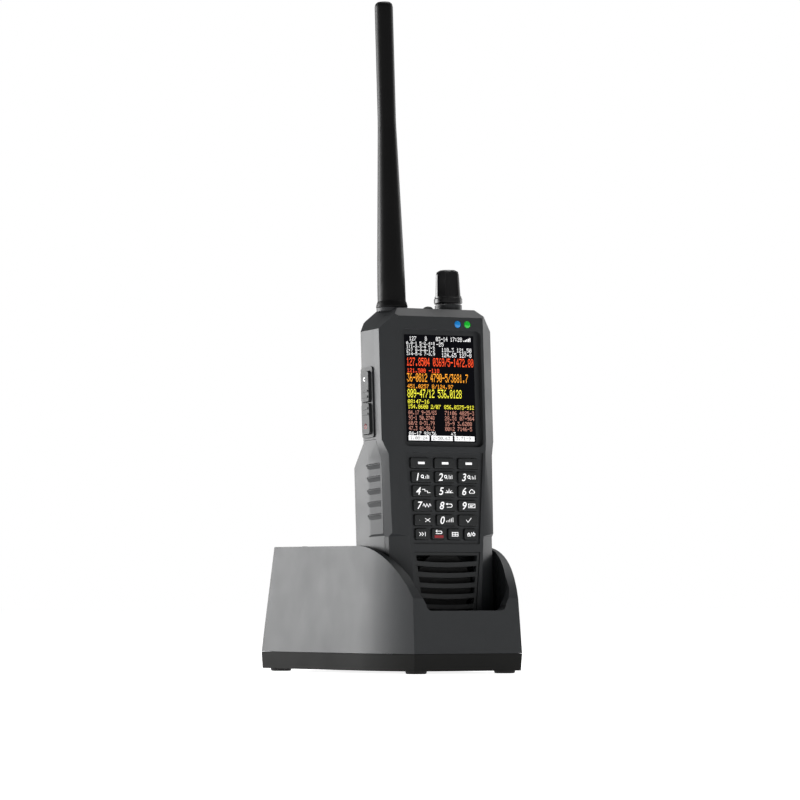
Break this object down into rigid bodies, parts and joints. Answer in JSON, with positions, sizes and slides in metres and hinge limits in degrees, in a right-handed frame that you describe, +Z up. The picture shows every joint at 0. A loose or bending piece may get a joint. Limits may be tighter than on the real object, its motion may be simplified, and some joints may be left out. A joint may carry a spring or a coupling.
{
  "type": "handheld scanning radio in charging cradle",
  "caption": "Handheld receiver with whip antenna, colour display and keypad, standing in a desktop charging cradle that it lifts out of.",
  "frame": {"origin": "middle of the cradle's footprint, at the bottom of its rubber feet", "axes": "+Z up, the radio's display faces -Y, +X is the radio's own left-to-right seen from the front"},
  "size_m": [0.076, 0.13, 0.3188],
  "materials": {
    "cradle_plastic": "textured moulded ABS",
    "base_plastic": "moulded ABS, darker tray",
    "foot_rubber": "moulded rubber",
    "screw_steel": "zinc plated screw",
    "board_laminate": "green solder mask",
    "contact_brass": "gold flashed contact",
    "socket_plastic": "moulded insulator",
    "charge_lens": "clear light pipe",
    "case_plastic": "fine spark-textured ABS and polycarbonate",
    "case_rear_plastic": "fine spark-textured ABS and polycarbonate",
    "battery_plastic": "fine spark-textured ABS and polycarbonate",
    "gasket_rubber": "silicone cord gasket",
    "black_screw": "black oxide screw",
    "window_gloss": "hard coated polycarbonate window",
    "display_module": "lit colour display",
    "screen_white": "lit display pixels",
    "screen_red": "lit display pixels",
    "screen_orange": "lit display pixels",
    "screen_yellow": "lit display pixels",
    "screen_rose": "lit display pixels",
    "mat_silicone": "silicone keypad mat",
    "grille_plastic": "moulded grille insert",
    "speaker_cone": "coated speaker cone",
    "light_blue": "lit lens",
    "light_green": "lit lens",
    "plated_metal": "nickel plated",
    "button_rubber": "moulded elastomer",
    "cell_sleeve": "heat shrink sleeve",
    "antenna_rubber": "satin moulded rubber",
    "knob_gloss": "gloss black moulded knob",
    "key_rubber": "hard capped silicone key",
    "legend_white": "laser marked legend",
    "legend_red": "laser marked legend"
  },
  "bodies": {
    "cradle": {"cradle_shell": "cradle_plastic", "cradle_base": "base_plastic", "cradle_feet": "foot_rubber", "cradle_screws": "screw_steel", "charger_board": "board_laminate", "charging_contacts": "contact_brass", "power_socket": "socket_plastic", "charge_lights": "charge_lens"},
    "radio": {"front_case": "case_plastic", "rear_case": "case_rear_plastic", "case_gasket": "gasket_rubber", "case_screws": "black_screw", "display_window": "window_gloss", "display_panel": "display_module", "keypad_mat": "mat_silicone", "main_board": "board_laminate", "speaker_grille": "grille_plastic", "speaker": "speaker_cone", "status_lights": "light_blue", "antenna_socket": "contact_brass", "encoder_body": "plated_metal", "earphone_socket": "socket_plastic", "side_button_frame": "button_rubber", "usb_socket": "plated_metal", "clip_bracket": "case_rear_plastic", "battery_case": "battery_plastic", "battery_cells": "cell_sleeve", "battery_contacts": "contact_brass", "clip_pin": "plated_metal", "clip_spring": "plated_metal"},
    "latch": {"battery_latch": "case_rear_plastic"},
    "antenna_carrier": {"antenna_ferrule": "contact_brass"},
    "antenna": {"antenna_whip": "antenna_rubber"},
    "knob_shaft": {"encoder_shaft": "plated_metal"},
    "knob": {"volume_knob": "knob_gloss"},
    "earphone_cap": {"jack_cap": "button_rubber"},
    "port_flap": {"port_cover": "button_rubber"},
    "clip": {"belt_clip": "case_rear_plastic"},
    "upper_side_button": {"side_button_upper": "button_rubber"},
    "lower_side_button": {"side_button_lower": "button_rubber"},
    "key_soft_left_cap": {"key_soft_left": "key_rubber"},
    "key_soft_middle_cap": {"key_soft_middle": "key_rubber"},
    "key_soft_right_cap": {"key_soft_right": "key_rubber"},
    "key_1_cap": {"key_1": "key_rubber"},
    "key_2_cap": {"key_2": "key_rubber"},
    "key_3_cap": {"key_3": "key_rubber"},
    "key_4_cap": {"key_4": "key_rubber"},
    "key_5_cap": {"key_5": "key_rubber"},
    "key_6_cap": {"key_6": "key_rubber"},
    "key_7_cap": {"key_7": "key_rubber"},
    "key_8_cap": {"key_8": "key_rubber"},
    "key_9_cap": {"key_9": "key_rubber"},
    "key_point_cap": {"key_point": "key_rubber"},
    "key_0_cap": {"key_0": "key_rubber"},
    "key_enter_cap": {"key_enter": "key_rubber"},
    "key_skip_cap": {"key_skip": "key_rubber"},
    "key_replay_cap": {"key_replay": "key_rubber"},
    "key_service_cap": {"key_service": "key_rubber"},
    "key_power_cap": {"key_power": "key_rubber"}
  },
  "joints": [
    {"name": "radio_lift", "type": "slide", "parent": "cradle", "child": "radio", "axis": [0, 0.0523, 0.9986], "range_m": [0, 0.06]},
    {"name": "antenna_rise", "type": "slide", "parent": "radio", "child": "antenna_carrier", "axis": [0, 0.0523, 0.9986], "range_m": [0, 0.00353]},
    {"name": "antenna_turn", "type": "hinge", "parent": "antenna_carrier", "child": "antenna", "pos_m": [-0.019, -0.02695, 0.17181], "axis": [0, 0.0523, 0.9986], "range_deg": [0, 1800]},
    {"name": "knob_push", "type": "slide", "parent": "radio", "child": "knob_shaft", "axis": [0, -0.0523, -0.9986], "range_m": [0, 0.0005], "stiffness_N_per_m": 1500},
    {"name": "knob_turn", "type": "hinge", "parent": "knob_shaft", "child": "knob", "pos_m": [0.0124, -0.02695, 0.17181], "axis": [0, 0.0523, 0.9986], "continuous": true},
    {"name": "earphone_cap_pull", "type": "slide", "parent": "radio", "child": "earphone_cap", "axis": [0, 0.0523, 0.9986], "range_m": [0, 0.006]},
    {"name": "port_flap_turn", "type": "hinge", "parent": "radio", "child": "port_flap", "pos_m": [0.0302, -0.02475, 0.13915], "axis": [0, -0.9986, 0.0523], "range_deg": [0, 110]},
    {"name": "belt_clip_squeeze", "type": "hinge", "parent": "radio", "child": "clip", "pos_m": [0, -0.01001, 0.1549], "axis": [1, 0, 0], "range_deg": [0, 14], "stiffness_Nm_per_rad": 0.4},
    {"name": "battery_latch_slide", "type": "slide", "parent": "radio", "child": "latch", "axis": [0, 0.0523, 0.9986], "range_m": [0, 0.0025], "stiffness_N_per_m": 300},
    {"name": "upper_side_press", "type": "slide", "parent": "radio", "child": "upper_side_button", "axis": [1, 0, 0], "range_m": [0, 0.0006], "stiffness_N_per_m": 300},
    {"name": "lower_side_press", "type": "slide", "parent": "radio", "child": "lower_side_button", "axis": [1, 0, 0], "range_m": [0, 0.0006], "stiffness_N_per_m": 300},
    {"name": "key_soft_left_press", "type": "slide", "parent": "radio", "child": "key_soft_left_cap", "axis": [0, 0.9986, -0.0523], "range_m": [0, 0.0005], "stiffness_N_per_m": 300},
    {"name": "key_soft_middle_press", "type": "slide", "parent": "radio", "child": "key_soft_middle_cap", "axis": [0, 0.9986, -0.0523], "range_m": [0, 0.0005], "stiffness_N_per_m": 300},
    {"name": "key_soft_right_press", "type": "slide", "parent": "radio", "child": "key_soft_right_cap", "axis": [0, 0.9986, -0.0523], "range_m": [0, 0.0005], "stiffness_N_per_m": 300},
    {"name": "key_1_press", "type": "slide", "parent": "radio", "child": "key_1_cap", "axis": [0, 0.9986, -0.0523], "range_m": [0, 0.0005], "stiffness_N_per_m": 300},
    {"name": "key_2_press", "type": "slide", "parent": "radio", "child": "key_2_cap", "axis": [0, 0.9986, -0.0523], "range_m": [0, 0.0005], "stiffness_N_per_m": 300},
    {"name": "key_3_press", "type": "slide", "parent": "radio", "child": "key_3_cap", "axis": [0, 0.9986, -0.0523], "range_m": [0, 0.0005], "stiffness_N_per_m": 300},
    {"name": "key_4_press", "type": "slide", "parent": "radio", "child": "key_4_cap", "axis": [0, 0.9986, -0.0523], "range_m": [0, 0.0005], "stiffness_N_per_m": 300},
    {"name": "key_5_press", "type": "slide", "parent": "radio", "child": "key_5_cap", "axis": [0, 0.9986, -0.0523], "range_m": [0, 0.0005], "stiffness_N_per_m": 300},
    {"name": "key_6_press", "type": "slide", "parent": "radio", "child": "key_6_cap", "axis": [0, 0.9986, -0.0523], "range_m": [0, 0.0005], "stiffness_N_per_m": 300},
    {"name": "key_7_press", "type": "slide", "parent": "radio", "child": "key_7_cap", "axis": [0, 0.9986, -0.0523], "range_m": [0, 0.0005], "stiffness_N_per_m": 300},
    {"name": "key_8_press", "type": "slide", "parent": "radio", "child": "key_8_cap", "axis": [0, 0.9986, -0.0523], "range_m": [0, 0.0005], "stiffness_N_per_m": 300},
    {"name": "key_9_press", "type": "slide", "parent": "radio", "child": "key_9_cap", "axis": [0, 0.9986, -0.0523], "range_m": [0, 0.0005], "stiffness_N_per_m": 300},
    {"name": "key_point_press", "type": "slide", "parent": "radio", "child": "key_point_cap", "axis": [0, 0.9986, -0.0523], "range_m": [0, 0.0005], "stiffness_N_per_m": 300},
    {"name": "key_0_press", "type": "slide", "parent": "radio", "child": "key_0_cap", "axis": [0, 0.9986, -0.0523], "range_m": [0, 0.0005], "stiffness_N_per_m": 300},
    {"name": "key_enter_press", "type": "slide", "parent": "radio", "child": "key_enter_cap", "axis": [0, 0.9986, -0.0523], "range_m": [0, 0.0005], "stiffness_N_per_m": 300},
    {"name": "key_skip_press", "type": "slide", "parent": "radio", "child": "key_skip_cap", "axis": [0, 0.9986, -0.0523], "range_m": [0, 0.0005], "stiffness_N_per_m": 300},
    {"name": "key_replay_press", "type": "slide", "parent": "radio", "child": "key_replay_cap", "axis": [0, 0.9986, -0.0523], "range_m": [0, 0.0005], "stiffness_N_per_m": 300},
    {"name": "key_service_press", "type": "slide", "parent": "radio", "child": "key_service_cap", "axis": [0, 0.9986, -0.0523], "range_m": [0, 0.0005], "stiffness_N_per_m": 300},
    {"name": "key_power_press", "type": "slide", "parent": "radio", "child": "key_power_cap", "axis": [0, 0.9986, -0.0523], "range_m": [0, 0.0005], "stiffness_N_per_m": 300}
  ],
  "couplings": [
    {"joint": "antenna_turn", "follows": "antenna_rise", "rad_per_m": 8899.6}
  ]
}
